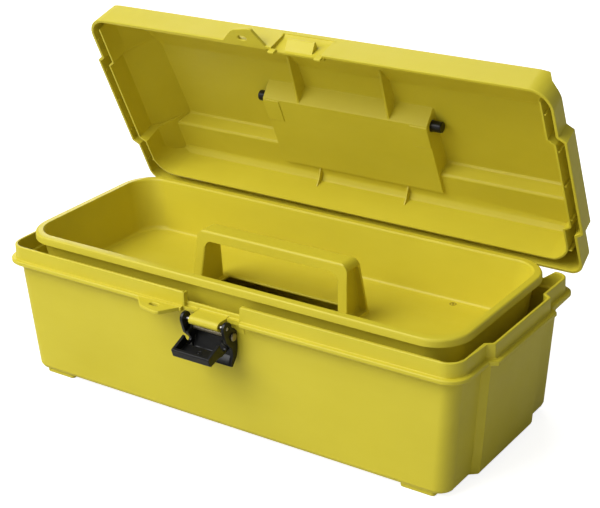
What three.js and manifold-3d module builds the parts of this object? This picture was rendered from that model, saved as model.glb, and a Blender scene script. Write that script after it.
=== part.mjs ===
// A nineteen-inch moulded toolbox with a lift-out tray, its lid standing open.
// Millimetres, +Z up, +X along the box, the latch on the -Y side, feet on Z = 0.
// The pieces are first placed about the middle of the box, and the whole is then
// moved along Y so that the origin lies under the middle of its bounding box.
import * as THREE from 'three';
import { mergeVertices } from 'three/addons/utils/BufferGeometryUtils.js';
import Module from 'manifold-3d';

const wasm = await Module();
wasm.setup();

// ---------------------------------------------------------------- driving dimensions

const GAP = 0.4;                     // clearance between pieces that touch
const WALL = 2.6;                    // moulded wall of box and lid
const CORNER_DIVISIONS = 7;          // facets of a round plan corner

const FOOT_HEIGHT = 3.5;
const FLANGE_TOP = 113;              // top of the flange that the lid closes on
const FLANGE_THICK = 4.2;
const LIP_TOP = 125.8;               // top of the upstanding lip inside the lid
const LIP_REAR = 117.5;                // top of the low lip along the back

const FLANGE = { x: 235.2, y: 99.8, radius: 20, rear: 13, step: 6.3 };
const LIP = { x: 230.6, y: 95.8, radius: 16, rear: 10, step: 6.3, stepAt: 47.7 };
const SIDE = { x: 227, y: 92, radius: 13, step: 6, stepAt: 46 };
const SIDE_DRAFT = { x: 9, y: 1.4 };  // how far the walls lean in at the bottom
const STEP_AT = 50;                  // the end walls step out between -50 and +50
const STEP_RUN = 4.5;

const BARREL = { y: -104.8, z: 108.2, radius: 4, half: 15 };
const NOTCH_HALF = 30;               // half width of the lip's notch at the latch
const NOTCH_LIP = { y: -92.6, top: 116.6 };

const HINGE = { y: 110.3, z: 104.5, radius: 5.6, stations: [-150, 150] };
const KNUCKLE_HALF = 11.6;           // half width of the lid's middle knuckle
const KNUCKLE_OUTER = 24;            // outer end of the box's two knuckles
const PIN_RADIUS = 2;
const PIN_CLEARANCE = 0.35;

const LID_RIM = FLANGE_TOP + GAP;    // underside of the closed lid
const LID_OPEN = 67.25;              // degrees that the lid stands open
const LID_CEILING = 52.4;            // inside of the lid above its rim, at its highest
const LID_LEDGE = 38;                // inside of the rear ledge above the rim
const LID_END = 15;                  // inside height of the lid's end channels
const LEDGE_AT = 48.4;               // where the lid's top steps down to the rear
const POCKET_FLOOR = 34.8;           // underside of the handle's pocket above the rim
const WEB_SPACING = 37;              // between the small webs of the end channels

// The wall inside the lid that runs down both ends and round the rear corners.
const INNER_WALL = { x: 224.7, y: 88.9, radius: 22, step: 6.3, stepAt: 44.8 };
const INNER_THICK = 1.8;

const HANDLE_PIVOT = { y: 0.4, z: 44, radius: 5, reach: 97 };
const HANDLE_HALF = 81.8;
const POCKET_HALF = 84.4;

const TRAY = { x: 216.5, y: 81.4, radius: 27, floor: 84.6, top: 136.5, wall: 2.3 };
const TRAY_RIM = { x: 221.5, y: 86.4, radius: 31, drop: 7 };
const TRAY_GRIP = { half: 82.5, opening: 73, top: 141.5, under: 132.5, middle: -2 };

const LINK = { y: 6, z: -9.4 };      // latch cross pin, from the barrel's axis
const CHEEK = { inner: 19.8, outer: 22.8 };
const HOOK_HALF = 19.4;
const HOOK_LENGTH = 31;
const HOOK_ANGLE = 197;              // direction of the open hook, from +Y towards +Z

// ---------------------------------------------------------------- materials

const plastic = (colour, roughness) =>
  new THREE.MeshStandardMaterial({ color: colour, roughness, metalness: 0 });
const yellow = plastic(0xd9ce2e, 0.42);
const black = plastic(0x161614, 0.34);
const steel = new THREE.MeshStandardMaterial({ color: 0xa8a49a, roughness: 0.35, metalness: 1 });

// ---------------------------------------------------------------- shapes and solids

// The solid of a closed geometry.
function solid(geometry) {
  geometry.deleteAttribute('normal');
  geometry.deleteAttribute('uv');
  const merged = mergeVertices(geometry, 1e-4);
  return new wasm.Manifold(new wasm.Mesh({
    numProp: 3,
    vertProperties: merged.attributes.position.array,
    triVerts: merged.index.array,
  }));
}

// A named mesh of a solid.
function piece(name, shape, material) {
  const mesh = shape.getMesh();
  const geometry = new THREE.BufferGeometry();
  geometry.setAttribute('position', new THREE.BufferAttribute(mesh.vertProperties, 3));
  geometry.setIndex(new THREE.BufferAttribute(mesh.triVerts, 1));
  geometry.computeVertexNormals();
  const result = new THREE.Mesh(geometry, material);
  result.name = name;
  return result;
}

const joined = (...solids) => solids.reduce((whole, next) => whole.add(next));

function polygon(points) {
  return new THREE.Shape(points.map(([a, b]) => new THREE.Vector2(a, b)));
}

function extruded(shape, depth, divisions) {
  return new THREE.ExtrudeGeometry(shape, {
    depth, bevelEnabled: false, curveSegments: divisions,
  });
}

// A profile drawn in Y and Z, from one X to another.
function alongX(shape, from, to, divisions = CORNER_DIVISIONS) {
  const geometry = extruded(shape, to - from, divisions);
  const turn = new THREE.Matrix4().makeBasis(
    new THREE.Vector3(0, 1, 0), new THREE.Vector3(0, 0, 1), new THREE.Vector3(1, 0, 0));
  return solid(geometry.applyMatrix4(turn).translate(from, 0, 0));
}

// A profile drawn in X and Z, from one Y to another.
function alongY(shape, from, to, divisions = CORNER_DIVISIONS) {
  const geometry = extruded(shape, to - from, divisions);
  return solid(geometry.rotateX(Math.PI / 2).translate(0, to, 0));
}

// An outline drawn in X and Y, from one Z to another.
function alongZ(shape, from, to, divisions = CORNER_DIVISIONS) {
  return solid(extruded(shape, to - from, divisions).translate(0, 0, from));
}

function block(x0, x1, y0, y1, z0, z1) {
  const geometry = new THREE.BoxGeometry(x1 - x0, y1 - y0, z1 - z0);
  return solid(geometry.translate((x0 + x1) / 2, (y0 + y1) / 2, (z0 + z1) / 2));
}

// A round bar along X.
function bar(x0, x1, y, z, radius, sides = 20) {
  const geometry = new THREE.CylinderGeometry(radius, radius, x1 - x0, sides);
  return solid(geometry.rotateZ(Math.PI / 2).translate((x0 + x1) / 2, y, z));
}

// The plan of the box: a round-cornered rectangle whose two ends step out over their middle.
function plan({ x, y, radius, rear = radius, step = 0, stepAt = STEP_AT }, inset = 0) {
  const halfX = x - inset;
  const halfY = y - inset;
  const r = Math.max(radius - inset, 1);
  const back = Math.max(rear - inset, 1);
  const middle = stepAt - inset * 0.5;
  const quarter = Math.PI / 2;
  const shape = new THREE.Shape();
  shape.absarc(halfX - r, r - halfY, r, -quarter, 0);
  if (step) {
    shape.lineTo(halfX, -middle - STEP_RUN);
    shape.lineTo(halfX + step, -middle);
    shape.lineTo(halfX + step, middle);
    shape.lineTo(halfX, middle + STEP_RUN);
  }
  shape.absarc(halfX - back, halfY - back, back, 0, quarter);
  shape.absarc(back - halfX, halfY - back, back, quarter, 2 * quarter);
  if (step) {
    shape.lineTo(-halfX, middle + STEP_RUN);
    shape.lineTo(-halfX - step, middle);
    shape.lineTo(-halfX - step, -middle);
    shape.lineTo(-halfX, -middle - STEP_RUN);
  }
  shape.absarc(r - halfX, r - halfY, r, 2 * quarter, 3 * quarter);
  shape.closePath();
  return shape;
}

// A plan raised through levels. Each level is [height, inset of the ends, inset of the sides],
// which gives the walls their draft and their rounded edges.
function raised(shape, levels) {
  const steps = levels.length - 1;
  const geometry = new THREE.ExtrudeGeometry(shape, {
    depth: steps, steps, bevelEnabled: false, curveSegments: CORNER_DIVISIONS,
  });
  const position = geometry.attributes.position;
  const beyondSteps = STEP_AT + STEP_RUN + 1;
  for (let i = 0; i < position.count; i += 1) {
    const [height, insetX, insetY] = levels[Math.round(position.getZ(i))];
    const x = position.getX(i);
    const y = position.getY(i);
    const moveY = Math.abs(y) > beyondSteps ? Math.sign(y) * insetY : 0;
    position.setXYZ(i, x - Math.sign(x) * insetX, y - moveY, height);
  }
  return solid(geometry);
}

const mirrored = (shape) => joined(shape, shape.mirror([1, 0, 0]));

// ---------------------------------------------------------------- the box

function boxShell() {
  const edge = 4;
  const outer = raised(plan(SIDE), [
    [FOOT_HEIGHT, SIDE_DRAFT.x + edge, SIDE_DRAFT.y + edge],
    [FOOT_HEIGHT + 1.2, SIDE_DRAFT.x + 1.2, SIDE_DRAFT.y + 1.2],
    [FOOT_HEIGHT + edge, SIDE_DRAFT.x, SIDE_DRAFT.y],
    [FLANGE_TOP - 1, 0, 0],
  ]);
  const flange = raised(plan(FLANGE), [
    [FLANGE_TOP - FLANGE_THICK, 0.9, 0.9],
    [FLANGE_TOP - FLANGE_THICK + 0.9, 0, 0],
    [FLANGE_TOP - 0.7, 0, 0],
    [FLANGE_TOP, 0.7, 0.7],
  ]);
  const lip = raised(plan(LIP), [
    [FLANGE_TOP - 1, -0.2, -0.2],
    [LIP_TOP - 0.6, 0, 0],
    [LIP_TOP, 0.6, 0.6],
  ]);
  const floor = FOOT_HEIGHT + WALL + 0.4;
  const hollow = raised(plan(SIDE, WALL), [
    [floor, SIDE_DRAFT.x + 3, SIDE_DRAFT.y + 3],
    [floor + 3, SIDE_DRAFT.x, SIDE_DRAFT.y],
    [FLANGE_TOP - 1, 0, 0],
    [LIP_TOP + 2, 0, 0],
  ]);
  const mouth = raised(plan(LIP, WALL), [
    [FLANGE_TOP - 1.5, 0, 0],
    [LIP_TOP + 2, 0, 0],
  ]);
  return joined(outer, flange, lip).subtract(joined(hollow, mouth, rearLipCut()));
}

// The lip slopes down at the rear corners, where the lid's inner wall swings over it.
function rearLipCut() {
  const high = LIP_TOP + 4;
  const fullAt = 218;
  const lowAt = 207;
  return alongY(polygon([
    [-fullAt, high], [-fullAt, LIP_TOP], [-lowAt, LIP_REAR], [lowAt, LIP_REAR], [fullAt, LIP_TOP], [fullAt, high],
  ]), SIDE.y - 16, LIP.y + 1);
}

// The lip steps back at the latch, and a sloping shelf carries the latch barrel.
function latchMount() {
  const lipInner = LIP.y - WALL;
  const back = NOTCH_LIP.y + 2.4;
  const recess = block(-NOTCH_HALF, NOTCH_HALF, NOTCH_LIP.y, back, 100, NOTCH_LIP.top);
  const cheek = block(NOTCH_HALF - 1.4, NOTCH_HALF + 1, -LIP.y, back, FLANGE_TOP - 3, LIP_TOP - 0.8);
  const floorPlate = block(-NOTCH_HALF, NOTCH_HALF, -LIP.y, -lipInner + 3, FLANGE_TOP - 4.2, FLANGE_TOP - 0.6);
  const shelf = alongX(polygon([
    [-91, 97], [-96, 101.5], [BARREL.y + 2, BARREL.z - 3.4], [BARREL.y - 2, BARREL.z - 1],
    [BARREL.y, BARREL.z + BARREL.radius], [-96.4, FLANGE_TOP - 0.6], [NOTCH_LIP.y, FLANGE_TOP + 0.4],
    [-91, FLANGE_TOP + 0.4],
  ]), -BARREL.half, BARREL.half);
  const barrel = bar(-BARREL.half, BARREL.half, BARREL.y, BARREL.z, BARREL.radius, 24);
  return joined(recess, mirrored(cheek), floorPlate, shelf, barrel);
}

// The eye that a padlock passes through, one on the flange and one on the lid.
function padlockTab(bottom, top) {
  const outline = polygon([
    [-78, -96], [-74.6, -101.5], [-65, -111], [-61, -113], [-45.5, -116], [-42, -115], [-31, -99], [-31, -96],
  ]);
  const slot = new THREE.Path();
  slot.absarc(-56.2, -105.2, 2.3, Math.PI / 2, 3 * Math.PI / 2);
  slot.absarc(-51.6, -105.2, 2.3, -Math.PI / 2, Math.PI / 2);
  outline.holes.push(slot);
  return alongZ(outline, bottom, top, 3);
}

function feet() {
  const pad = { x: 16, y: 9.5, radius: 3 };
  const foot = alongZ(plan(pad), 0, FOOT_HEIGHT + 1, 2).translate([190, -78.5, 0]);
  return mirrored(joined(foot, foot.mirror([0, 1, 0])));
}

// Two ribs at each end hold the tray clear of the space below it.
function trayRibs() {
  const top = TRAY.floor - GAP;
  const profile = polygon([
    [194, FOOT_HEIGHT + 1], [194, top - 2], [195.5, top], [224, top], [217, FOOT_HEIGHT + 1],
  ]);
  const rib = alongY(profile, -1.5, 1.5);
  return mirrored(joined(rib.translate([0, -40, 0]), rib.translate([0, 40, 0])));
}

function hingeArm(bottomBack) {
  const arm = new THREE.Shape();
  arm.moveTo(91, bottomBack);
  arm.lineTo(HINGE.y - 1, HINGE.z - HINGE.radius);
  arm.absarc(HINGE.y, HINGE.z, HINGE.radius, -Math.PI / 2, Math.PI / 2);
  arm.lineTo(HINGE.y - 4, FLANGE_TOP - 0.4);
  arm.lineTo(91, FLANGE_TOP - 0.4);
  arm.closePath();
  return arm;
}

function boxKnuckles() {
  const arm = hingeArm(90);
  const knuckles = [];
  for (const station of HINGE.stations) {
    knuckles.push(alongX(arm, station - KNUCKLE_OUTER, station - KNUCKLE_HALF - GAP));
    knuckles.push(alongX(arm, station + KNUCKLE_HALF + GAP, station + KNUCKLE_OUTER));
  }
  return joined(...knuckles);
}

function pinBores() {
  const reach = KNUCKLE_OUTER + 4;
  const bores = HINGE.stations.map((station) =>
    bar(station - reach, station + reach, HINGE.y, HINGE.z, PIN_RADIUS + PIN_CLEARANCE));
  return joined(...bores);
}

function makeBox() {
  const notch = joined(
    block(-NOTCH_HALF, NOTCH_HALF, -LIP.y - 1, -LIP.y + WALL + 1, FLANGE_TOP - 1, LIP_TOP + 2),
    block(-NOTCH_HALF, NOTCH_HALF, -FLANGE.y - 1, -LIP.y, FLANGE_TOP - 8, LIP_TOP + 2),
  );
  const inside = raised(plan(SIDE, WALL), [
    [FOOT_HEIGHT + WALL + 3, SIDE_DRAFT.x - 0.4, SIDE_DRAFT.y - 0.1],
    [LIP_TOP + 2, 0, 0],
  ]);
  const shell = boxShell().subtract(notch);
  const outside = joined(latchMount(), boxKnuckles()).subtract(inside);
  const outerHull = raised(plan(SIDE, WALL / 2), [
    [FOOT_HEIGHT + 0.5, SIDE_DRAFT.x + 1, SIDE_DRAFT.y + 1],
    [FLANGE_TOP, 0, 0],
  ]);
  const tab = padlockTab(FLANGE_TOP - FLANGE_THICK + 0.6, FLANGE_TOP - 0.2);
  const pivotBore = bar(-30, 30, BARREL.y, BARREL.z, 1.5 + 0.3, 16);
  return joined(shell, outside, tab, feet(), trayRibs().intersect(outerHull))
    .subtract(joined(pinBores(), pivotBore));
}

// ---------------------------------------------------------------- the lid, drawn closed

const LID = { ...FLANGE };

// The space under a top surface: front slope, top, step down to the rear ledge, rear slope.
function lidSection(thick) {
  const top = LID_CEILING + thick;
  const ledge = LID_LEDGE + thick;
  const slope = 0.45;
  const rearSlope = 0.955;
  const creaseAt = -40.6 - thick * 0.2;
  const rearAt = 83.4 + thick;
  return alongX(polygon([
    [-125, -10],
    [-125, top - 3 + (creaseAt + 125) * -slope],
    [creaseAt, top - 3],
    [creaseAt + 4, top - 2.4],
    [LEDGE_AT - 1 + thick * 0.9, top],
    [LEDGE_AT + 0.8 + thick * 0.9, top - 1.6],
    [LEDGE_AT + 3.6 + thick, ledge + 1.6],
    [LEDGE_AT + 5.4 + thick, ledge],
    [rearAt - 2.4, ledge],
    [rearAt, ledge - 1.2],
    [125, ledge - 1.2 - (125 - rearAt) * rearSlope],
    [125, -10],
  ]), -260, 260);
}

// The space under the end slopes; the middle of each end stands further out.
function lidEnds(thick) {
  const profile = (out) => {
    const half = [
      [262, -10], [262, LID_END + thick], [231 + out, LID_END + thick],
      [225 + thick * 0.6 + out, LID_END + 2.4 + thick], [203 + thick * 0.8, LID_CEILING + thick + 1],
    ];
    const other = half.map(([x, z]) => [-x, z]).reverse();
    return polygon([...half, ...other]);
  };
  const middle = STEP_AT - WALL + thick;
  return joined(
    alongY(profile(0), -130, 130),
    alongY(profile(LID.step), -middle, middle),
  );
}

function lidSpace(thick) {
  const inset = WALL - thick;
  const prism = raised(plan(LID, inset), [
    [thick ? 0 : -2, 0.2, 0.2],
    [1, 0, 0],
    [26, 1.8, 1.8],
    [LID_CEILING + 12, 3.4, 3.4],
  ]);
  return prism.intersect(lidSection(thick)).intersect(lidEnds(thick));
}

// A recess in the front wall, with the ridge that the latch hooks over.
function latchRecessCut() {
  return alongX(polygon([
    [-110, -2], [-110, 26], [-97.4, 22], [-96.2, 18.5], [-96.2, -2],
  ]), -25.5, 25.5);
}

function latchRecessWall() {
  const wall = alongX(polygon([
    [-96.2, 0], [-96.2, 18.5], [-97.4, 22], [-97.4, 25.5], [-94.8, 26], [-93.6, 19], [-93.8, 0],
  ]), -27, 27);
  const side = block(25.5, 27.8, -98.6, -93.8, 0, 22);
  const ridge = alongX(polygon([
    [-96, 2.5], [-102.6, 10.6], [-102.6, 12.2], [-101.8, 12.8], [-96, 12.8],
  ]), -14, 14);
  const tongue = block(20.4, 27, -98.6, -96.4, -4.6, 1);
  return joined(wall, mirrored(joined(side, tongue)), ridge);
}

// The pocket in the top that the folded carry handle lies in.
function pocketBlock() {
  const floor = POCKET_FLOOR;
  const front = polygon([
    [-15.4, LID_CEILING], [-5.5, floor], [72, floor], [72.6, LID_LEDGE + 1.5],
    [LEDGE_AT + 8, LID_LEDGE + 1.5], [LEDGE_AT + 6, LID_CEILING],
  ]);
  const side = POCKET_HALF + WALL;
  const plate = polygon([[-4.6, floor + 0.5], [-4, floor - 0.9], [19, floor - 0.9], [19.9, floor + 0.5]]);
  return joined(alongX(front, -side, side), mirrored(alongX(plate, side - 17.4, side)));
}

function pocketCut() {
  const { y, z, radius } = HANDLE_PIVOT;
  const floor = POCKET_FLOOR + WALL;
  const profile = polygon([
    [-14.6, LID_CEILING + WALL + 2.4], [-3.8, floor], [71.5, floor], [72, LID_CEILING + WALL + 2.4],
  ]);
  const pivots = bar(-POCKET_HALF - 5, POCKET_HALF + 5, y, z, radius + GAP, 24);
  return joined(alongX(profile, -POCKET_HALF, POCKET_HALF), pivots);
}

// Ribs under the top: gussets in front of the pocket and small ones on the rear slope.
function lidRibs() {
  const top = LID_CEILING - 1;
  const gusset = alongX(polygon([[-56, top - 7], [-54, 40.6], [-6, 35.6], [-6, top], [-42, top]]), 46.8, 49.2);
  const rear = alongX(polygon([
    [74, LID_LEDGE + 1], [77, 35.4], [83.4, 30], [86.6, 24.6], [88, 24.6], [88, 34], [82, LID_LEDGE + 1],
  ]), 47.2, 48.8);
  return mirrored(joined(gusset, rear));
}

// The room that the box's lip takes up inside the closed lid.
function lipRoom() {
  const top = LIP_TOP - LID_RIM + 0.8;
  return alongZ(plan(LIP, -1.1), -5, top).subtract(alongZ(plan(LIP, WALL + 1.3), -6, top + 1));
}

// The inner wall, and the short webs that tie it to the outer wall at each end.
function innerWall() {
  const rear = INNER_WALL;
  const front = { ...INNER_WALL, y: 130, radius: 2 };
  const ring = (shape) => alongZ(plan(shape), 0.6, LID_CEILING)
    .subtract(alongZ(plan(shape, INNER_THICK), -1, LID_CEILING + 2));
  const wall = joined(
    ring(rear).intersect(block(-260, 260, 0, 260, -1, 60)),
    ring(front).intersect(block(-260, 260, -260, 0, -1, 60)),
  );
  const webs = [-2, -1, 0, 1, 2].map((index) => {
    const y = index * WEB_SPACING;
    return block(INNER_WALL.x - 1, LID.x + LID.step, y - 0.7, y + 0.7, 1.6, LID_END + 2);
  });
  const inboard = alongZ(plan(INNER_WALL, INNER_THICK / 2), 0, LID_CEILING);
  const ends = mirrored(joined(...webs)).subtract(inboard);
  return joined(wall, ends).subtract(lipRoom());
}

function lidKnuckles() {
  const y = HINGE.y;
  const z = HINGE.z - LID_RIM;
  const r = HINGE.radius;
  const arm = new THREE.Shape();
  arm.moveTo(97.6, 0.6);
  arm.lineTo(100.6, 0.6);
  arm.lineTo(y - 5.4, z + 1.4);
  arm.absarc(y, z, r, Math.PI - 0.25, Math.PI * 2 + 0.9);
  arm.lineTo(y + 0.5, z + 10);
  arm.lineTo(101.5, 14);
  arm.lineTo(97.6, 14);
  arm.closePath();
  const arms = HINGE.stations.map((station) =>
    alongX(arm, station - KNUCKLE_HALF, station + KNUCKLE_HALF));
  return joined(...arms);
}

function makeLid() {
  const outer = lidSpace(WALL);
  const inner = lidSpace(0);
  const inside = joined(pocketBlock(), lidRibs(), innerWall()).intersect(outer);
  const lid = joined(outer.subtract(inner), inside)
    .subtract(joined(pocketCut(), latchRecessCut()))
    .add(joined(latchRecessWall(), lidKnuckles(), padlockTab(0, 3.2)));
  return lid.subtract(pinBores().translate([0, 0, -LID_RIM]));
}

// ---------------------------------------------------------------- the carry handle, folded

function makeHandle() {
  const { y, z, radius, reach } = HANDLE_PIVOT;
  const bottom = LID_LEDGE + WALL + 1;
  const top = z + 7;
  const hub = 5.6;
  const gripFront = y + 52;
  const gripBack = y + 73;
  const leg = new THREE.Shape();
  leg.absarc(y, z, hub, Math.PI / 2, 3 * Math.PI / 2);
  leg.lineTo(gripFront + 5, bottom);
  leg.lineTo(gripFront + 5, top);
  leg.lineTo(gripFront - 12, top);
  leg.closePath();
  const side = mirrored(alongX(leg, HANDLE_HALF - 12, HANDLE_HALF));
  const grip = new THREE.Shape();
  grip.absarc(gripBack - 4, bottom + 4, 4, -Math.PI / 2, 0);
  grip.absarc(gripBack - 5, top - 4.6, 5, 0, Math.PI / 2);
  grip.absarc(gripFront + 5, top - 4.6, 5, Math.PI / 2, Math.PI);
  grip.absarc(gripFront + 4, bottom + 4, 4, Math.PI, 3 * Math.PI / 2);
  grip.closePath();
  const beam = alongX(grip, -HANDLE_HALF, HANDLE_HALF, 4);
  const trunnions = mirrored(bar(HANDLE_HALF - 2, reach, y, z, radius, 24));
  return joined(side, beam, trunnions);
}

// ---------------------------------------------------------------- the tray

function makeTray() {
  const bottom = TRAY.floor;
  const draft = { x: 7, y: 4.6 };
  const outer = raised(plan(TRAY), [
    [bottom, draft.x + 3.4, draft.y + 3.4],
    [bottom + 0.5, draft.x + 1.9, draft.y + 1.9],
    [bottom + 1.6, draft.x + 0.7, draft.y + 0.7],
    [bottom + 3.4, draft.x, draft.y],
    [TRAY.top - 1, 0, 0],
  ]);
  const hollow = raised(plan(TRAY, TRAY.wall), [
    [bottom + 2.4, draft.x + 3.6, draft.y + 3.6],
    [bottom + 2.9, draft.x + 2, draft.y + 2],
    [bottom + 4, draft.x + 0.8, draft.y + 0.8],
    [bottom + 6, draft.x, draft.y],
    [TRAY.top - 1.6, 0, 0],
    [TRAY.top - 0.4, -0.5, -0.5],
    [TRAY.top + 2, -2, -2],
  ]);
  const rim = raised(plan(TRAY_RIM), [
    [TRAY.top - TRAY_RIM.drop, -0.2, -0.2],
    [TRAY.top - 2, 0, 0],
    [TRAY.top - 1, 0.3, 0.3],
    [TRAY.top - 0.3, 1, 1],
    [TRAY.top, 2, 2],
  ]);
  const underRim = raised(plan(TRAY_RIM, 2), [
    [TRAY.top - TRAY_RIM.drop - 1, 0, 0],
    [TRAY.top - 2.2, 0, 0],
  ]);
  const shell = joined(outer, rim.subtract(underRim)).subtract(hollow);
  const { opening, middle } = TRAY_GRIP;
  const slot = block(4 - opening, opening - 4, middle - 10, middle + 20, bottom - 1, bottom + 4);
  return joined(shell.subtract(slot), trayGrip());
}

// The grip is a bridge over the tray: two hollow posts and a beam between them.
function trayGrip() {
  const { half, opening, top, under, middle } = TRAY_GRIP;
  const foot = TRAY.floor + 1;
  const lean = 3.5;
  const bend = 6;
  const shoulder = 8;
  const innerX = opening - lean;
  const outerX = half - lean;
  const arch = new THREE.Shape();
  arch.moveTo(-half, foot);
  arch.lineTo(-opening, foot);
  arch.lineTo(-innerX, under - bend);
  arch.absarc(bend - innerX, under - bend, bend, Math.PI, Math.PI / 2, true);
  arch.absarc(innerX - bend, under - bend, bend, Math.PI / 2, 0, true);
  arch.lineTo(opening, foot);
  arch.lineTo(half, foot);
  arch.lineTo(outerX, top - shoulder);
  arch.absarc(outerX - shoulder, top - shoulder, shoulder, 0, Math.PI / 2);
  arch.absarc(shoulder - outerX, top - shoulder, shoulder, Math.PI / 2, Math.PI);
  arch.closePath();
  const side = new THREE.Shape();
  const wide = 18;
  const narrow = 9.6;
  const round = 2.6;
  side.moveTo(middle - wide, foot);
  side.lineTo(middle + wide, foot);
  side.lineTo(middle + narrow, top - round);
  side.absarc(middle + narrow - round, top - round, round, 0.2, Math.PI / 2);
  side.absarc(middle + round - narrow, top - round, round, Math.PI / 2, Math.PI - 0.2);
  side.closePath();
  const bridge = alongY(arch, middle - 20, middle + 20, 7).intersect(alongX(side, -100, 100, 4));
  const channel = new THREE.Shape();
  channel.moveTo(middle - 15.2, foot + 4);
  channel.lineTo(middle + 15.2, foot + 4);
  channel.lineTo(middle + 8.6, top - 12);
  channel.absarc(middle + 3, top - 12, 5.6, 0, Math.PI / 2);
  channel.absarc(middle - 3, top - 12, 5.6, Math.PI / 2, Math.PI);
  channel.closePath();
  const hollowPost = alongX(channel, opening + 1.4, half + 2);
  const beamEnd = innerX - bend - 4;
  const hollowBeam = block(-beamEnd, beamEnd, middle - 6.6, middle + 6.6, under - 2, top - 2.6);
  return bridge.subtract(joined(mirrored(hollowPost), hollowBeam));
}

// ---------------------------------------------------------------- the latch

// Drawn with the barrel's axis as origin, hanging flat against the wall.
function makeLatchLever() {
  const ear = 5.8;
  const back = 12.2;
  const heel = { y: 4.2, z: -36.6 };
  const cheek = new THREE.Shape();
  cheek.absarc(0, 0, ear, -0.1, Math.PI + 0.3);
  cheek.lineTo(-2.6, LINK.z - 3);
  cheek.lineTo(4.4, -20);
  cheek.lineTo(5, -27);
  cheek.lineTo(1.6, -35.4);
  cheek.lineTo(heel.y, heel.z);
  cheek.lineTo(10, -30);
  cheek.lineTo(back, -22);
  cheek.lineTo(back, LINK.z + 3);
  cheek.lineTo(back - 2.4, -3.4);
  cheek.closePath();
  const plate = polygon([
    [back - 2.2, -14.8], [back, -14.8], [back, -22], [10, -30], [heel.y, heel.z], [1.6, -35.4], [7.4, -28.6],
    [back - 2.2, -21.6],
  ]);
  const lever = joined(
    mirrored(alongX(cheek, CHEEK.inner, CHEEK.outer, 6)),
    alongX(plate, -CHEEK.inner - 1, CHEEK.inner + 1),
  );
  return lever.subtract(joined(
    bar(-30, 30, 0, 0, 1.5 + 0.3, 16),
    bar(-30, 30, LINK.y, LINK.z, 2 + 0.3, 16),
  ));
}

// Drawn with the cross pin's axis as origin, standing up along +Z as when it is hooked;
// the lid is on the +Y side.
function makeLatchHook() {
  const swing = Math.hypot(LINK.y, LINK.z);
  const arm = new THREE.Shape();
  arm.absarc(0, 0, 4.7, 0.35, -2.8, true);
  arm.lineTo(-6.6, -0.4);
  arm.lineTo(-10.6, 4.4);
  arm.lineTo(-10.8, 15);
  arm.lineTo(-9, 18);
  arm.lineTo(-9, HOOK_LENGTH - 1.6);
  arm.lineTo(-7.6, HOOK_LENGTH);
  arm.lineTo(-1.4, HOOK_LENGTH);
  arm.lineTo(-0.6, HOOK_LENGTH - 1);
  arm.lineTo(0.8, 16);
  arm.lineTo(1.6, 4);
  arm.closePath();
  const sweep = new THREE.Shape();
  const toPin = Math.atan2(-LINK.z, -LINK.y);
  sweep.absarc(0, 0, swing + 2.1, toPin, toPin - 2, true);
  sweep.absarc(0, 0, swing - 2.1, toPin - 2, toPin, false);
  sweep.closePath();
  const track = joined(
    alongX(sweep, HOOK_HALF - 4, HOOK_HALF + 1, 10),
    bar(HOOK_HALF - 4, HOOK_HALF + 1, -LINK.y, -LINK.z, 2.1, 16),
  );
  const side = alongX(arm, HOOK_HALF - 2.8, HOOK_HALF, 5).subtract(track);
  const scoop = polygon([
    [-9, 15], [-8.2, 14.4], [-6.6, 15], [-6.6, 27.4], [-5.6, 28.3], [-0.6, 28.3],
    [-0.6, 30.2], [-1.4, HOOK_LENGTH], [-7.6, HOOK_LENGTH], [-9, HOOK_LENGTH - 1.6],
  ]);
  const plate = alongX(scoop, -HOOK_HALF + 1, HOOK_HALF - 1);
  return joined(mirrored(side), plate).subtract(bar(-30, 30, 0, 0, 2 + 0.3, 16));
}

// A pin with a round head at each end, along X.
function headedPin(radius, headRadius, from, head) {
  const profile = [
    [0, -from - head], [headRadius - 0.6, -from - head], [headRadius, -from - head + 0.5], [headRadius, -from],
    [radius, -from], [radius, from],
    [headRadius, from], [headRadius, from + head - 0.5], [headRadius - 0.6, from + head], [0, from + head],
  ].map(([r, x]) => new THREE.Vector2(r, x));
  const geometry = new THREE.LatheGeometry(profile, 24);
  return solid(geometry.rotateZ(-Math.PI / 2));
}

function plainPin(radius, half) {
  const chamfer = 0.5;
  const profile = [
    [0, -half], [radius - chamfer, -half], [radius, -half + chamfer],
    [radius, half - chamfer], [radius - chamfer, half], [0, half],
  ].map(([r, x]) => new THREE.Vector2(r, x));
  return solid(new THREE.LatheGeometry(profile, 16).rotateZ(-Math.PI / 2));
}

// ---------------------------------------------------------------- assembly

const toolbox = new THREE.Group();
toolbox.add(piece('box_body', makeBox(), yellow));

HINGE.stations.forEach((station, index) => {
  const pin = piece(`hinge_pin_${index ? 'right' : 'left'}`, plainPin(PIN_RADIUS, KNUCKLE_OUTER), steel);
  pin.position.set(station, HINGE.y, HINGE.z);
  toolbox.add(pin);
});

const lidHinge = new THREE.Group();
lidHinge.position.set(0, HINGE.y, HINGE.z);
lidHinge.rotation.x = -THREE.MathUtils.degToRad(LID_OPEN);
const lidFrame = new THREE.Group();
lidFrame.position.set(0, -HINGE.y, LID_RIM - HINGE.z);
lidFrame.add(piece('lid', makeLid(), yellow));
lidFrame.add(piece('carry_handle', makeHandle(), black));
lidHinge.add(lidFrame);
toolbox.add(lidHinge);

toolbox.add(piece('tray', makeTray(), yellow));

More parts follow.
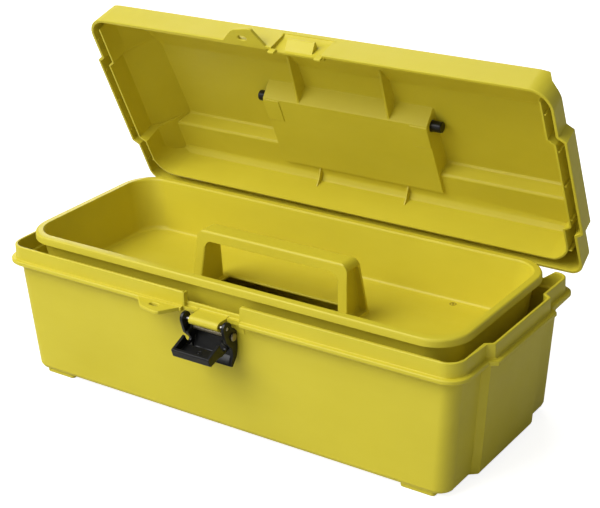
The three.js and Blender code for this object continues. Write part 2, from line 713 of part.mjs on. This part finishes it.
const latch = new THREE.Group();
latch.position.set(0, BARREL.y, BARREL.z);
latch.add(piece('latch_lever', makeLatchLever(), black));
latch.add(piece('latch_pivot_pin', plainPin(1.5, CHEEK.outer), steel));
const hookGroup = new THREE.Group();
hookGroup.position.set(0, LINK.y, LINK.z);
hookGroup.add(piece('latch_cross_pin', headedPin(2, 3.5, CHEEK.outer + 0.3, 1.7), steel));
const hook = piece('latch_hook', makeLatchHook(), black);
hook.rotation.x = THREE.MathUtils.degToRad(HOOK_ANGLE - 90);
hookGroup.add(hook);
latch.add(hookGroup);
toolbox.add(latch);

// The origin goes under the middle of the whole, on the surface that the feet stand on.
const part = new THREE.Group();
part.add(toolbox);
part.updateMatrixWorld(true);
const bounds = new THREE.Box3().setFromObject(part, true);
toolbox.position.y = -(bounds.min.y + bounds.max.y) / 2;
part.updateMatrixWorld(true);

export default part;
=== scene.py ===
# A nineteen-inch moulded toolbox, its lid standing open and its lift-out tray in place.
# Metres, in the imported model's frame: +Z up, +X along the box, the latch on the -Y side.
import math

import bmesh
import bpy
import numpy as np
from mathutils import Matrix, Vector
from mathutils.bvhtree import BVHTree
from mathutils.geometry import delaunay_2d_cdt


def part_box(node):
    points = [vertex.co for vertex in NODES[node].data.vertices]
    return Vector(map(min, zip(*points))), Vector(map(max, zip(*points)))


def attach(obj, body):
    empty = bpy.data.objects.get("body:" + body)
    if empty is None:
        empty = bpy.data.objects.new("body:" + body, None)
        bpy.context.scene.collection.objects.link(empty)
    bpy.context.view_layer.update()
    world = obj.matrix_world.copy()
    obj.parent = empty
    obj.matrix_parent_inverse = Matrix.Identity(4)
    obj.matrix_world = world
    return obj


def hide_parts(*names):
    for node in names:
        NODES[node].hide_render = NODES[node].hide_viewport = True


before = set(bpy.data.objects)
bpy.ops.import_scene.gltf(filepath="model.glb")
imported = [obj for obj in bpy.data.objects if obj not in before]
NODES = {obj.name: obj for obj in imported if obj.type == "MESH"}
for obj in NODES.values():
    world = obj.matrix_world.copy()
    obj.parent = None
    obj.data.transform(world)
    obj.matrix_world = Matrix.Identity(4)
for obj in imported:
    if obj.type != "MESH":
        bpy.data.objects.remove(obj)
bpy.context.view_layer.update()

MM = 0.001
SCENE = bpy.context.scene

# ---------------------------------------------------------------- places taken from the frame

TRAY_LOW, TRAY_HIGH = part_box("tray")
MIDDLE_Y = (TRAY_LOW.y + TRAY_HIGH.y) / 2      # the plane along the middle of the box
FLOOR_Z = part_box("box_body")[0].z

# ---------------------------------------------------------------- node helpers

MIX_SHARE, MIX_FIRST, MIX_SECOND = 0, 6, 7     # a mix node's inputs when it mixes colours
MIX_RESULT = 2                                 # and its output


def node_material(name):
    """An empty node material, with its tree and its output."""
    material = bpy.data.materials.new(name)
    material.use_nodes = True
    tree = material.node_tree
    tree.nodes.clear()
    output = tree.nodes.new("ShaderNodeOutputMaterial")
    return material, tree, output


def shader_node(tree, kind, **values):
    """A node of that kind, with its inputs or its settings given by name."""
    made = tree.nodes.new(kind)
    for key, value in values.items():
        if key in made.inputs:
            made.inputs[key].default_value = value
        else:
            setattr(made, key, value)
    return made


def noise(tree, where, scale, detail=4.0, roughness=0.55, stretch=None):
    """A noise pattern on object coordinates, its scale in waves per metre."""
    source = where
    if stretch:
        mapping = shader_node(tree, "ShaderNodeMapping")
        mapping.inputs["Scale"].default_value = stretch
        tree.links.new(where, mapping.inputs["Vector"])
        source = mapping.outputs["Vector"]
    made = shader_node(tree, "ShaderNodeTexNoise")
    made.inputs["Scale"].default_value = scale
    made.inputs["Detail"].default_value = detail
    made.inputs["Roughness"].default_value = roughness
    tree.links.new(source, made.inputs["Vector"])
    return made.outputs["Fac"]


def mapped(tree, value, low, high, to_low, to_high):
    """A value moved from one span to another, and held inside it."""
    made = shader_node(tree, "ShaderNodeMapRange")
    made.inputs["From Min"].default_value = low
    made.inputs["From Max"].default_value = high
    made.inputs["To Min"].default_value = to_low
    made.inputs["To Max"].default_value = to_high
    tree.links.new(value, made.inputs["Value"])
    return made.outputs["Result"]


def mixed_colour(tree, share, first, second):
    """Two colours, or links to colours, mixed by a share."""
    made = shader_node(tree, "ShaderNodeMix")
    made.data_type = "RGBA"
    for socket, end in ((MIX_FIRST, first), (MIX_SECOND, second)):
        if isinstance(end, tuple):
            made.inputs[socket].default_value = (*end, 1.0)
        else:
            tree.links.new(end, made.inputs[socket])
    tree.links.new(share, made.inputs[MIX_SHARE])
    return made.outputs[MIX_RESULT]


def bumped(tree, height, strength, distance, under=None):
    """A bump from a height, on top of another bump if there is one."""
    made = shader_node(tree, "ShaderNodeBump")
    made.inputs["Strength"].default_value = strength
    made.inputs["Distance"].default_value = distance
    tree.links.new(height, made.inputs["Height"])
    if under:
        tree.links.new(under, made.inputs["Normal"])
    return made.outputs["Normal"]


# ---------------------------------------------------------------- finishes

PLASTIC_IOR = 1.49
PLASTIC_SHEEN = 0.36                 # how strongly the plastic mirrors, where 0.5 is plain
STAIN_SHARE = 0.55                   # a stain on steel is this part of its colour


def moulded_plastic(name, colour, deep, pale, gloss, grain):
    """Moulded polypropylene: slow drifts of shade, a fine spark-eroded grain, faint rubbing marks."""
    material, tree, output = node_material(name)
    where = tree.nodes.new("ShaderNodeTexCoord").outputs["Object"]
    body = shader_node(tree, "ShaderNodeBsdfPrincipled")
    body.inputs["IOR"].default_value = PLASTIC_IOR
    body.inputs["Specular IOR Level"].default_value = PLASTIC_SHEEN
    # The shade: broad drifts, streaks along the flow of the plastic, and rubbed lines.
    drift = mapped(tree, noise(tree, where, 9.0, 3.0), 0.3, 0.7, 0.0, 1.0)
    flow = mapped(tree, noise(tree, where, 30.0, 5.0, 0.6, (0.35, 1.0, 1.0)), 0.35, 0.75, 0.0, 1.0)
    shade = mixed_colour(tree, drift, deep, colour)
    shade = mixed_colour(tree, mapped(tree, flow, 0.0, 1.0, 0.0, 0.35), shade, pale)
    rubbed = noise(tree, where, 260.0, 6.0, 0.7, (0.12, 1.0, 1.0))
    marks = mapped(tree, rubbed, 0.60, 0.78, 0.0, 0.10)
    shade = mixed_colour(tree, marks, shade, pale)
    tree.links.new(shade, body.inputs["Base Color"])
    # The gloss comes and goes in patches of a few centimetres.
    polish = noise(tree, where, 45.0, 6.0, 0.65)
    tree.links.new(mapped(tree, polish, 0.25, 0.75, gloss - 0.06, gloss + 0.08), body.inputs["Roughness"])
    # The skin is slightly uneven, with the mould's grain on top.
    fine = noise(tree, where, 2600.0, 2.0, 0.5)
    coarse = noise(tree, where, 240.0, 4.0, 0.5)
    relief = bumped(tree, coarse, 0.10, 0.4 * MM)
    relief = bumped(tree, fine, grain, 0.12 * MM, relief)
    tree.links.new(relief, body.inputs["Normal"])
    tree.links.new(body.outputs["BSDF"], output.inputs["Surface"])
    return material


def drawn_steel(name, colour, roughness):
    """Drawn wire or a turned pin: fine lines round it and a few stains."""
    material, tree, output = node_material(name)
    where = tree.nodes.new("ShaderNodeTexCoord").outputs["Object"]
    body = shader_node(tree, "ShaderNodeBsdfPrincipled")
    body.inputs["Metallic"].default_value = 1.0
    stain = mapped(tree, noise(tree, where, 420.0, 5.0), 0.42, 0.72, 0.0, 0.6)
    dark = tuple(STAIN_SHARE * part for part in colour)
    tree.links.new(mixed_colour(tree, stain, colour, dark), body.inputs["Base Color"])
    lines = noise(tree, where, 900.0, 3.0, 0.5, (6.0, 1.0, 1.0))
    polish = mapped(tree, lines, 0.3, 0.7, roughness - 0.08, roughness + 0.12)
    tree.links.new(polish, body.inputs["Roughness"])
    tree.links.new(bumped(tree, lines, 0.2, 0.05 * MM), body.inputs["Normal"])
    tree.links.new(body.outputs["BSDF"], output.inputs["Surface"])
    return material


YELLOW = moulded_plastic(
    "yellow_moulding", (0.655, 0.560, 0.034), (0.615, 0.520, 0.029), (0.70, 0.605, 0.05), 0.44, 0.16)
SCORCHED = moulded_plastic(
    "yellow_gate", (0.40, 0.31, 0.017), (0.30, 0.22, 0.012), (0.46, 0.37, 0.02), 0.40, 0.20)
BLACK = moulded_plastic(
    "black_moulding", (0.0045, 0.0045, 0.004), (0.003, 0.003, 0.003), (0.012, 0.012, 0.011), 0.34, 0.22)
STEEL = drawn_steel("steel_wire", (0.56, 0.54, 0.50), 0.32)
DARK_STEEL = drawn_steel("dull_steel", (0.34, 0.30, 0.21), 0.42)

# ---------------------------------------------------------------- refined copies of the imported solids

SHARP = math.radians(33.0)           # edges that turn more than this are rounded
SHARP_AFTER = math.radians(38.0)     # edges of the rounded solid that turn more than this shade sharp
CREASE = math.radians(16.0)          # edges left unrounded shade sharp above this
ROUND_STEPS = 3                      # flats across one rounding
ROOM_SHARE = 0.40                    # of the room beside an edge, the part its rounding takes
ROOM_SAMPLES = (0.08, 0.5, 0.92)     # where along an edge that room is measured
LEAST_ROUND = 0.15 * MM              # edges that could only take a smaller rounding stay sharp
ONWARD_COSINE = -0.8                 # edges that leave a corner this nearly opposite ways are one run
ROUNDING_TRIES = 5                   # after each try, edges that spoil their surroundings turn sharp
SPOIL_REACH = 1.2                    # such an edge lies within this many roundings of a spoilt face
RETURN_SHARE = 0.45                  # a corner more roundings than this off the solid goes back to it

MERGE_GAP = 0.004 * MM               # corners closer than this are one
SPECK_LENGTH = 0.002 * MM            # edges shorter than this are closed up
SPECK_AREA = 1e-13                   # square metres; a smaller face has no sure direction
PLANE_SLACK = 0.004 * MM             # how far a face may lie off the plane that it is part of
PLANE_COSINE = 0.999                 # and the least cosine between their directions
STILL_FLAT_COSINE = 0.9999           # the same for a face that the rounding left in its plane
AREA_SLACK = 0.002                   # the share of a flat's area that its new triangles may miss
HOLE_SIDES = 6                       # holes with more sides than this stay open
STRAY_COSINE = -0.1                  # below this cosine to all the faces round it, a face has strayed
LEAST_STRAY_AREA = 0.02 * MM * MM    # smaller faces aren't judged
TOUCHING = 0.001 * MM                # edges nearer than this touch, and take no room
TINY = 1e-9                          # metres that count as nothing

TRAY_STRAIGHT = 54.4 * MM            # half the straight length of the tray's end walls, at the top
TRAY_STRAIGHT_SLACK = 0.05 * MM      # how far their ends may lie from that
TRAY_OVERRUN = 8 * MM                # the most that they run past the start of a round corner
TRAY_CORNER_TURN = math.radians(90.0 / 14)   # one step of that corner
TRAY_FIRST_STEP = (0.1 * MM, 0.2 * MM)       # how far in its first step goes, least and most
LEVEL_SLACK = 0.02 * MM              # corners are on one level if their heights round to one step of this


def mark_planes(shape, layer):
    """Number the flat stretches of a triangulated solid, and list the edges round each."""
    rims = {}
    number = 0
    for seed in sorted(shape.faces, key=lambda face: -face.calc_area()):
        if seed[layer]:
            continue
        number += 1
        seed[layer] = number
        normal = seed.normal.copy()
        level = seed.verts[0].co.dot(normal)
        waiting = [seed]
        rims[number] = (normal, [])
        while waiting:
            face = waiting.pop()
            for loop in face.loops:
                other = loop.link_loop_radial_next.face
                if other[layer] == number:
                    continue
                parallel = other.normal.dot(normal) > PLANE_COSINE
                level_too = all(abs(vert.co.dot(normal) - level) < PLANE_SLACK for vert in other.verts)
                if not other[layer] and parallel and level_too:
                    other[layer] = number
                    waiting.append(other)
                else:
                    rims[number][1].append(loop)
    return rims


def rooms_beside(rims):
    """For each edge, how far a rounding may reach into the flats beside it before another edge."""
    rooms = {}
    for normal, loops in rims.values():
        starts = np.array([loop.vert.co for loop in loops])
        ends = np.array([loop.link_loop_next.vert.co for loop in loops])
        for index, loop in enumerate(loops):
            way = ends[index] - starts[index]
            along = way / np.linalg.norm(way)
            inward = np.cross(np.array(normal), along)
            best = rooms.get(loop.edge, 1.0)
            for share in ROOM_SAMPLES:
                place = starts[index] + way * share
                first, second = starts - place, ends - place
                ahead, behind = first @ along, second @ along
                apart = ahead - behind
                crossing = (ahead * behind <= 0) & (np.abs(apart) > TINY)
                mix = np.where(crossing, ahead / np.where(crossing, apart, 1.0), 0.0)
                reach = (first + (second - first) * mix[:, None]) @ inward
                near = reach[crossing & (reach > TOUCHING)]
                if len(near):
                    best = min(best, near.min())
            rooms[loop.edge] = best
    return rooms


def smooth_runs(widths):
    """Groups of rounded edges that follow on from each other without a corner."""
    left = set(widths)
    for first in widths:
        if first not in left:
            continue
        left.discard(first)
        run = [first]
        for edge in run:
            for vert in edge.verts:
                away = (edge.other_vert(vert).co - vert.co).normalized()
                for other in vert.link_edges:
                    if other in left:
                        onward = (other.other_vert(vert).co - vert.co).normalized()
                        if onward.dot(away) < ONWARD_COSINE:
                            left.discard(other)
                            run.append(other)
        yield run


def weigh_edges(source, weight, rims, edge):
    """Give each sharp edge its share of the full rounding, the same all along a run of edges."""
    rooms = rooms_beside(rims)
    widths = {}
    for each in source.edges:
        width = ROOM_SHARE * rooms.get(each, 0.0)
        if each.calc_face_angle(0.0) > SHARP and width > LEAST_ROUND:
            widths[each] = min(edge, width)
    for run in smooth_runs(widths):
        even = min(widths[each] for each in run)
        for each in run:
            each[weight] = even / edge


def triangle_area(corners):
    """The area of a triangle."""
    first, second, third = corners
    return (second - first).cross(third - first).length / 2


def refill_plane(shape, faces, normal):
    """Cut a flat stretch into triangles afresh from the edges round it, if the new ones fill it."""
    inside = set(faces)
    rim = [loop for face in faces for loop in face.loops
           if loop.link_loop_radial_next.face not in inside or loop.link_loop_radial_next == loop]
    corners = list(dict.fromkeys(vert for loop in rim for vert in (loop.vert, loop.link_loop_next.vert)))
    order = {vert: index for index, vert in enumerate(corners)}
    side = normal.orthogonal().normalized()
    up = normal.cross(side)
    flat = [Vector((vert.co.dot(side), vert.co.dot(up))) for vert in corners]
    edges = [(order[loop.vert], order[loop.link_loop_next.vert]) for loop in rim]
    points, _, triangles, origins, _, _ = delaunay_2d_cdt(flat, edges, [], 0, TINY)
    if any(len(origin) != 1 for origin in origins):
        return
    start = np.array([flat[a] for a, _ in edges])
    end = np.array([flat[b] for _, b in edges])
    made = []
    for triangle in triangles:
        middle = sum((points[index] for index in triangle), Vector((0, 0))) / 3
        above = (start[:, 1] > middle.y) != (end[:, 1] > middle.y)
        height = np.where(above, end[:, 1] - start[:, 1], 1.0)
        cross_x = start[:, 0] + (middle.y - start[:, 1]) / height * (end[:, 0] - start[:, 0])
        if np.count_nonzero(above & (cross_x > middle.x)) % 2:
            made.append([corners[origins[index][0]] for index in triangle])
    covered = sum(triangle_area(corner.co for corner in triangle) for triangle in made)
    enclosed = abs(sum(flat[i].x * flat[j].y - flat[j].x * flat[i].y for i, j in edges)) / 2
    present = [shape.faces.get(triangle) for triangle in made]
    twice_used = any(face and face not in inside for face in present)
    if abs(covered - enclosed) > AREA_SLACK * enclosed or twice_used:
        return
    bmesh.ops.delete(shape, geom=list(faces), context="FACES_KEEP_BOUNDARY")
    for triangle in made:
        face = shape.faces.new(triangle)
        face.normal_update()
        if face.normal.dot(normal) < 0:
            face.normal_flip()


def close_seams(shape):
    """Take away needle faces that hang from an edge two others close already, and fill needle holes."""
    hanging = True
    while hanging:
        hanging = [face for face in shape.faces
                   if any(edge.is_boundary for edge in face.edges)
                   and any(len(edge.link_faces) > 2 for edge in face.edges)]
        bmesh.ops.delete(shape, geom=hanging, context="FACES")
    rims = [edge for edge in shape.edges if edge.is_boundary]
    bmesh.ops.holes_fill(shape, edges=rims, sides=HOLE_SIDES)


def straighten_corners(shape):
    """Move the tray's end walls back to where its round corners begin, where they run past that."""
    levels = {}
    for vert in shape.verts:
        levels.setdefault(round(vert.co.z / LEVEL_SLACK), []).append(vert)
    least, most = TRAY_FIRST_STEP
    moves = {}
    for vert in shape.verts:
        if abs(abs(vert.co.y - MIDDLE_Y) - TRAY_STRAIGHT) > TRAY_STRAIGHT_SLACK:
            continue
        side = math.copysign(1.0, vert.co.y - MIDDLE_Y)
        for other in levels[round(vert.co.z / LEVEL_SLACK)]:
            inward = abs(vert.co.x) - abs(other.co.x)
            if abs(other.co.y - vert.co.y) < TRAY_OVERRUN and least < inward < most:
                moves[vert] = other.co.y - side * inward / math.tan(TRAY_CORNER_TURN / 2)
    for vert, place in moves.items():
        vert.co.y = place


def strayed(shape, tree, reach):
    """The corners of the faces that face the wrong way for where they lie on the solid."""
    corners = []
    for face in shape.faces:
        if face.calc_area() > LEAST_STRAY_AREA:
            near = tree.find_nearest_range(face.calc_center_median(), reach)
            if not near or max(face.normal.dot(hit[1]) for hit in near) < STRAY_COSINE:
                corners.extend(np.array(vert.co) for vert in face.verts)
    return corners


def sharpen_near(source, weight, corners, edge):
    """Turn the edges beside these corners sharp again."""
    soft = [each for each in source.edges if each[weight] > 0]
    starts = np.array([each.verts[0].co for each in soft])
    ways = np.array([each.verts[1].co for each in soft]) - starts
    squares = (ways * ways).sum(axis=1)
    for corner in corners:
        share = np.clip(((corner - starts) * ways).sum(axis=1) / squares, 0.0, 1.0)
        apart = np.linalg.norm(starts + ways * share[:, None] - corner, axis=1)
        for index in np.flatnonzero(apart < SPOIL_REACH * edge):
            soft[index][weight] = 0.0


def rounded(source, tree, normals, piece, edge):
    """The solid with its weighted edges rounded and its flats cut afresh."""
    source.to_mesh(piece.data)
    rounding = piece.modifiers.new("rounded_edges", "BEVEL")
    rounding.width = edge
    rounding.segments = ROUND_STEPS
    rounding.limit_method = "WEIGHT"
    rounding.use_clamp_overlap = False
    rounding.loop_slide = False
    rounding.miter_outer = "MITER_ARC"
    made = bpy.data.meshes.new_from_object(piece.evaluated_get(bpy.context.evaluated_depsgraph_get()))
    piece.modifiers.clear()
    shape = bmesh.new()
    shape.from_mesh(made)
    for vert in shape.verts:
        place, _, _, distance = tree.find_nearest(vert.co)
        if distance > RETURN_SHARE * edge:
            vert.co = place
    plane = shape.faces.layers.int["plane"]
    groups = {}
    shape.normal_update()
    for face in shape.faces:
        normal = normals.get(face[plane])
        if normal and (abs(face.normal.dot(normal)) > STILL_FLAT_COSINE or face.calc_area() < SPECK_AREA):
            groups.setdefault(face[plane], []).append(face)
    for number, faces in groups.items():
        if len(faces) > 2:
            refill_plane(shape, faces, normals[number])
    close_seams(shape)
    close_seams(shape)     # again, for what the first filling leaves hanging
    bmesh.ops.triangulate(shape, faces=[face for face in shape.faces if len(face.verts) > 4])
    shape.normal_update()
    return shape


def cleaned(node, mend):
    """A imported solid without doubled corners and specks, and with its faults mended."""
    source = bmesh.new()
    source.from_mesh(NODES[node].data)
    bmesh.ops.remove_doubles(source, verts=source.verts, dist=MERGE_GAP)
    bmesh.ops.dissolve_degenerate(source, edges=source.edges, dist=SPECK_LENGTH)
    if mend:
        mend(source)
        source.normal_update()
    return source


def refined(node, body, material, edge, mend=None):
    """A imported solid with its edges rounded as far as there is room, and its flats cut afresh."""
    source = cleaned(node, mend)
    source.faces.layers.int.new("plane")
    weight = source.edges.layers.float.new("bevel_weight_edge")
    # A new layer makes older layer handles stale, so the plane layer is looked up after the weight's.
    rims = mark_planes(source, source.faces.layers.int["plane"])
    normals = {number: normal for number, (normal, _) in rims.items()}
    weigh_edges(source, weight, rims, edge)
    tree = BVHTree.FromBMesh(source)
    piece = bpy.data.objects.new(f"{node}_finish", bpy.data.meshes.new(node))
    SCENE.collection.objects.link(piece)
    for _ in range(ROUNDING_TRIES):
        for each in source.edges:
            each.smooth = each[weight] > 0 or each.calc_face_angle(0.0) < CREASE
        shape = rounded(source, tree, normals, piece, edge)
        corners = strayed(shape, tree, edge)
        if not corners:
            break
        sharpen_near(source, weight, corners, edge)
    source.free()
    for face in shape.faces:
        face.smooth = True
    for each in shape.edges:
        each.smooth = each.smooth and each.calc_face_angle(0.0) < SHARP_AFTER
    mesh = bpy.data.meshes.new(f"{node}_finish")
    shape.to_mesh(mesh)
    shape.free()
    piece.data = mesh
    mesh.materials.clear()
    mesh.materials.append(material)
    evening = piece.modifiers.new("even_shading", "WEIGHTED_NORMAL")
    evening.keep_sharp = True
    evening.mode = "FACE_AREA_WITH_ANGLE"
    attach(piece, body)
    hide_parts(node)


refined("box_body", "box", YELLOW, 0.9 * MM)
refined("lid", "lid_shell", YELLOW, 0.6 * MM)
refined("tray", "lift_out_tray", YELLOW, 2.0 * MM, mend=straighten_corners)
refined("carry_handle", "handle", BLACK, 0.9 * MM)
refined("latch_lever", "lever", BLACK, 0.5 * MM)
refined("latch_hook", "hook", BLACK, 0.5 * MM)
refined("latch_cross_pin", "lever", DARK_STEEL, 0.15 * MM)
refined("latch_pivot_pin", "box", STEEL, 0.12 * MM)
refined("hinge_pin_left", "box", STEEL, 0.12 * MM)
refined("hinge_pin_right", "box", STEEL, 0.12 * MM)

# ---------------------------------------------------------------- marks that the mould leaves

GATE_PLACE = (0.1355, MIDDLE_Y + 0.0675, 0.0870)     # on the tray's floor, near its rear right corner
PLATE_PLACE = (0.0012, MIDDLE_Y - 0.1176, 0.08616)   # on the latch's pull plate
PLATE_UP = Vector((0.0, -0.2924, 0.9563))            # the way that plate faces at rest
RING_STEPS, BEAD_STEPS, NUB_STEPS = 48, 14, 32       # round a mark's ring, its bead and its nub


def mark_tree():
    """A low ring swept round a circle, with a nub in its middle; its sizes are the tree's inputs."""
    tree = bpy.data.node_groups.new("moulding_mark", "GeometryNodeTree")
    sizes = {}
    socket = tree.interface.new_socket
    for label in ("Ring Radius", "Bead Radius", "Nub Radius", "Nub Height"):
        sizes[label] = socket(label, in_out="INPUT", socket_type="NodeSocketFloat").identifier
    sizes["Finish"] = socket("Finish", in_out="INPUT", socket_type="NodeSocketMaterial").identifier
    socket("Geometry", in_out="OUTPUT", socket_type="NodeSocketGeometry")
    given = tree.nodes.new("NodeGroupInput")
    ring = shader_node(tree, "GeometryNodeCurvePrimitiveCircle", Resolution=RING_STEPS)
    bead = shader_node(tree, "GeometryNodeCurvePrimitiveCircle", Resolution=BEAD_STEPS)
    sweep = tree.nodes.new("GeometryNodeCurveToMesh")
    nub = shader_node(tree, "GeometryNodeMeshUVSphere",
                      Segments=NUB_STEPS, Rings=NUB_STEPS // 2, Radius=1.0)
    squeeze = tree.nodes.new("ShaderNodeCombineXYZ")
    shaped = tree.nodes.new("GeometryNodeTransform")
    both = tree.nodes.new("GeometryNodeJoinGeometry")
    realised = tree.nodes.new("GeometryNodeRealizeInstances")
    finish = tree.nodes.new("GeometryNodeSetMaterial")
    result = tree.nodes.new("NodeGroupOutput")
    join = tree.links.new
    join(given.outputs["Ring Radius"], ring.inputs["Radius"])
    join(given.outputs["Bead Radius"], bead.inputs["Radius"])
    join(ring.outputs["Curve"], sweep.inputs["Curve"])
    join(bead.outputs["Curve"], sweep.inputs["Profile Curve"])
    join(given.outputs["Nub Radius"], squeeze.inputs["X"])
    join(given.outputs["Nub Radius"], squeeze.inputs["Y"])
    join(given.outputs["Nub Height"], squeeze.inputs["Z"])
    join(nub.outputs["Mesh"], shaped.inputs["Geometry"])
    join(squeeze.outputs["Vector"], shaped.inputs["Scale"])
    join(sweep.outputs["Mesh"], both.inputs["Geometry"])
    join(shaped.outputs["Geometry"], both.inputs["Geometry"])
    join(both.outputs["Geometry"], realised.inputs["Geometry"])
    join(realised.outputs["Geometry"], finish.inputs["Geometry"])
    join(given.outputs["Finish"], finish.inputs["Material"])
    join(finish.outputs["Geometry"], result.inputs["Geometry"])
    return tree, sizes


MARK_TREE, MARK_SIZES = mark_tree()


def moulding_mark(name, body, slot, place, up, **values):
    """One mark, its tree applied, set on its surface; the values are that tree's inputs."""
    piece = bpy.data.objects.new(name, bpy.data.meshes.new(name))
    SCENE.collection.objects.link(piece)
    marking = piece.modifiers.new("mark", "NODES")
    marking.node_group = MARK_TREE
    for label, value in values.items():
        marking[MARK_SIZES[label.replace("_", " ")]] = value
    made = bpy.data.meshes.new_from_object(piece.evaluated_get(bpy.context.evaluated_depsgraph_get()))
    piece.modifiers.clear()
    made.transform(Matrix.Translation(place) @ up.to_track_quat("Z", "X").to_matrix().to_4x4())
    made.shade_smooth()
    piece.data = made
    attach(piece, body)


moulding_mark("tray_gate_mark", "lift_out_tray", "yellow_shell", GATE_PLACE, Vector((0, 0, 1)),
              Ring_Radius=2.7 * MM, Bead_Radius=0.42 * MM,
              Nub_Radius=1.1 * MM, Nub_Height=0.9 * MM, Finish=SCORCHED)
moulding_mark("plate_gate_mark", "hook", "black_fittings", PLATE_PLACE, PLATE_UP,
              Ring_Radius=2.6 * MM, Bead_Radius=0.30 * MM,
              Nub_Radius=1.0 * MM, Nub_Height=0.45 * MM, Finish=BLACK)

# ---------------------------------------------------------------- the stage

FLOOR_HALF = 9.0                     # half the floor's width
FLOOR_DROP = 0.2 * MM                # how far it lies under the feet
FLOOR_SHADE = (0.55, 0.55, 0.55, 1.0)
FLOOR_GLOW = 0.85                    # what the floor adds where the camera sees it
SURROUND = 0.22                      # how bright the surround is as light
WHITE = (1.0, 1.0, 1.0, 1.0)
LIGHTS_AIM = Vector((0, 0, 0.12))    # near the middle of the object
CAMERA_PLACE = Vector((0.7154, MIDDLE_Y - 0.9775, 0.6616))
CAMERA_RIGHT = Vector((0.82435, 0.56503, -0.03435))      # where the right of its view points
CAMERA_UP = Vector((-0.20165, 0.34981, 0.91486))         # and the top of it
CAMERA_LENS = 91.6                   # millimetres, as is the sensor
SENSOR_WIDTH = 36.0
NEAREST, FARTHEST = 0.05, 60.0       # what the camera sees starts and ends here


def stage_floor():
    """A plain white floor that shows the object's shadow."""
    mesh = bpy.data.meshes.new("floor")
    ways = ((-1, -1), (1, -1), (1, 1), (-1, 1))
    corners = [(x * FLOOR_HALF, y * FLOOR_HALF, FLOOR_Z - FLOOR_DROP) for x, y in ways]
    mesh.from_pydata(corners, [], [(0, 1, 2, 3)])
    floor = bpy.data.objects.new("floor", mesh)
    SCENE.collection.objects.link(floor)
    material, tree, output = node_material("white_floor")
    matt = shader_node(tree, "ShaderNodeBsdfDiffuse")
    matt.inputs["Color"].default_value = FLOOR_SHADE
    glow = shader_node(tree, "ShaderNodeEmission")
    seen = shader_node(tree, "ShaderNodeLightPath")
    seen_strength = mapped(tree, seen.outputs["Is Camera Ray"], 0.0, 1.0, 0.0, FLOOR_GLOW)
    tree.links.new(seen_strength, glow.inputs["Strength"])
    both = shader_node(tree, "ShaderNodeAddShader")
    tree.links.new(matt.outputs["BSDF"], both.inputs[0])
    tree.links.new(glow.outputs["Emission"], both.inputs[1])
    tree.links.new(both.outputs["Shader"], output.inputs["Surface"])
    mesh.materials.append(material)


def stage_world():
    """A grey surround for light, white where the camera sees it."""
    world = bpy.data.worlds.new("studio")
    SCENE.world = world
    world.use_nodes = True
    tree = world.node_tree
    tree.nodes.clear()
    output = tree.nodes.new("ShaderNodeOutputWorld")
    surround = shader_node(tree, "ShaderNodeBackground")
    surround.inputs["Color"].default_value = WHITE
    surround.inputs["Strength"].default_value = SURROUND
    white = shader_node(tree, "ShaderNodeBackground")
    white.inputs["Color"].default_value = WHITE
    seen = shader_node(tree, "ShaderNodeLightPath")
    choice = shader_node(tree, "ShaderNodeMixShader")
    share, unseen_end, seen_end = choice.inputs
    tree.links.new(seen.outputs["Is Camera Ray"], share)
    tree.links.new(surround.outputs["Background"], unseen_end)
    tree.links.new(white.outputs["Background"], seen_end)
    tree.links.new(choice.outputs["Shader"], output.inputs["Surface"])


def soft_light(name, place, size, power):
    """A square studio light that faces the object."""
    lamp = bpy.data.lights.new(name, "AREA")
    lamp.shape = "SQUARE"
    lamp.size = size
    lamp.energy = power
    light = bpy.data.objects.new(name, lamp)
    SCENE.collection.objects.link(light)
    light.location = place
    aim = LIGHTS_AIM - Vector(place)
    light.rotation_mode = "QUATERNION"
    light.rotation_quaternion = aim.to_track_quat("-Z", "Y")


def stage_camera():
    """The camera, in front of the object, above it and to its right."""
    lens = bpy.data.cameras.new("camera")
    lens.sensor_width = SENSOR_WIDTH
    lens.lens = CAMERA_LENS
    lens.clip_start = NEAREST
    lens.clip_end = FARTHEST
    camera = bpy.data.objects.new("camera", lens)
    SCENE.collection.objects.link(camera)
    back = CAMERA_RIGHT.cross(CAMERA_UP)
    turn = Matrix((CAMERA_RIGHT, CAMERA_UP, back)).transposed().to_4x4()
    camera.matrix_world = Matrix.Translation(CAMERA_PLACE) @ turn
    SCENE.camera = camera


stage_floor()
stage_world()
soft_light("key", (-1.35, -1.95, 2.65), 2.8, 132.0)
soft_light("front_fill", (0.1, -3.0, 0.55), 1.8, 12.0)
soft_light("back_fill", (-1.7, 2.35, 1.5), 1.8, 40.0)
stage_camera()
SCENE.view_settings.view_transform = "Standard"
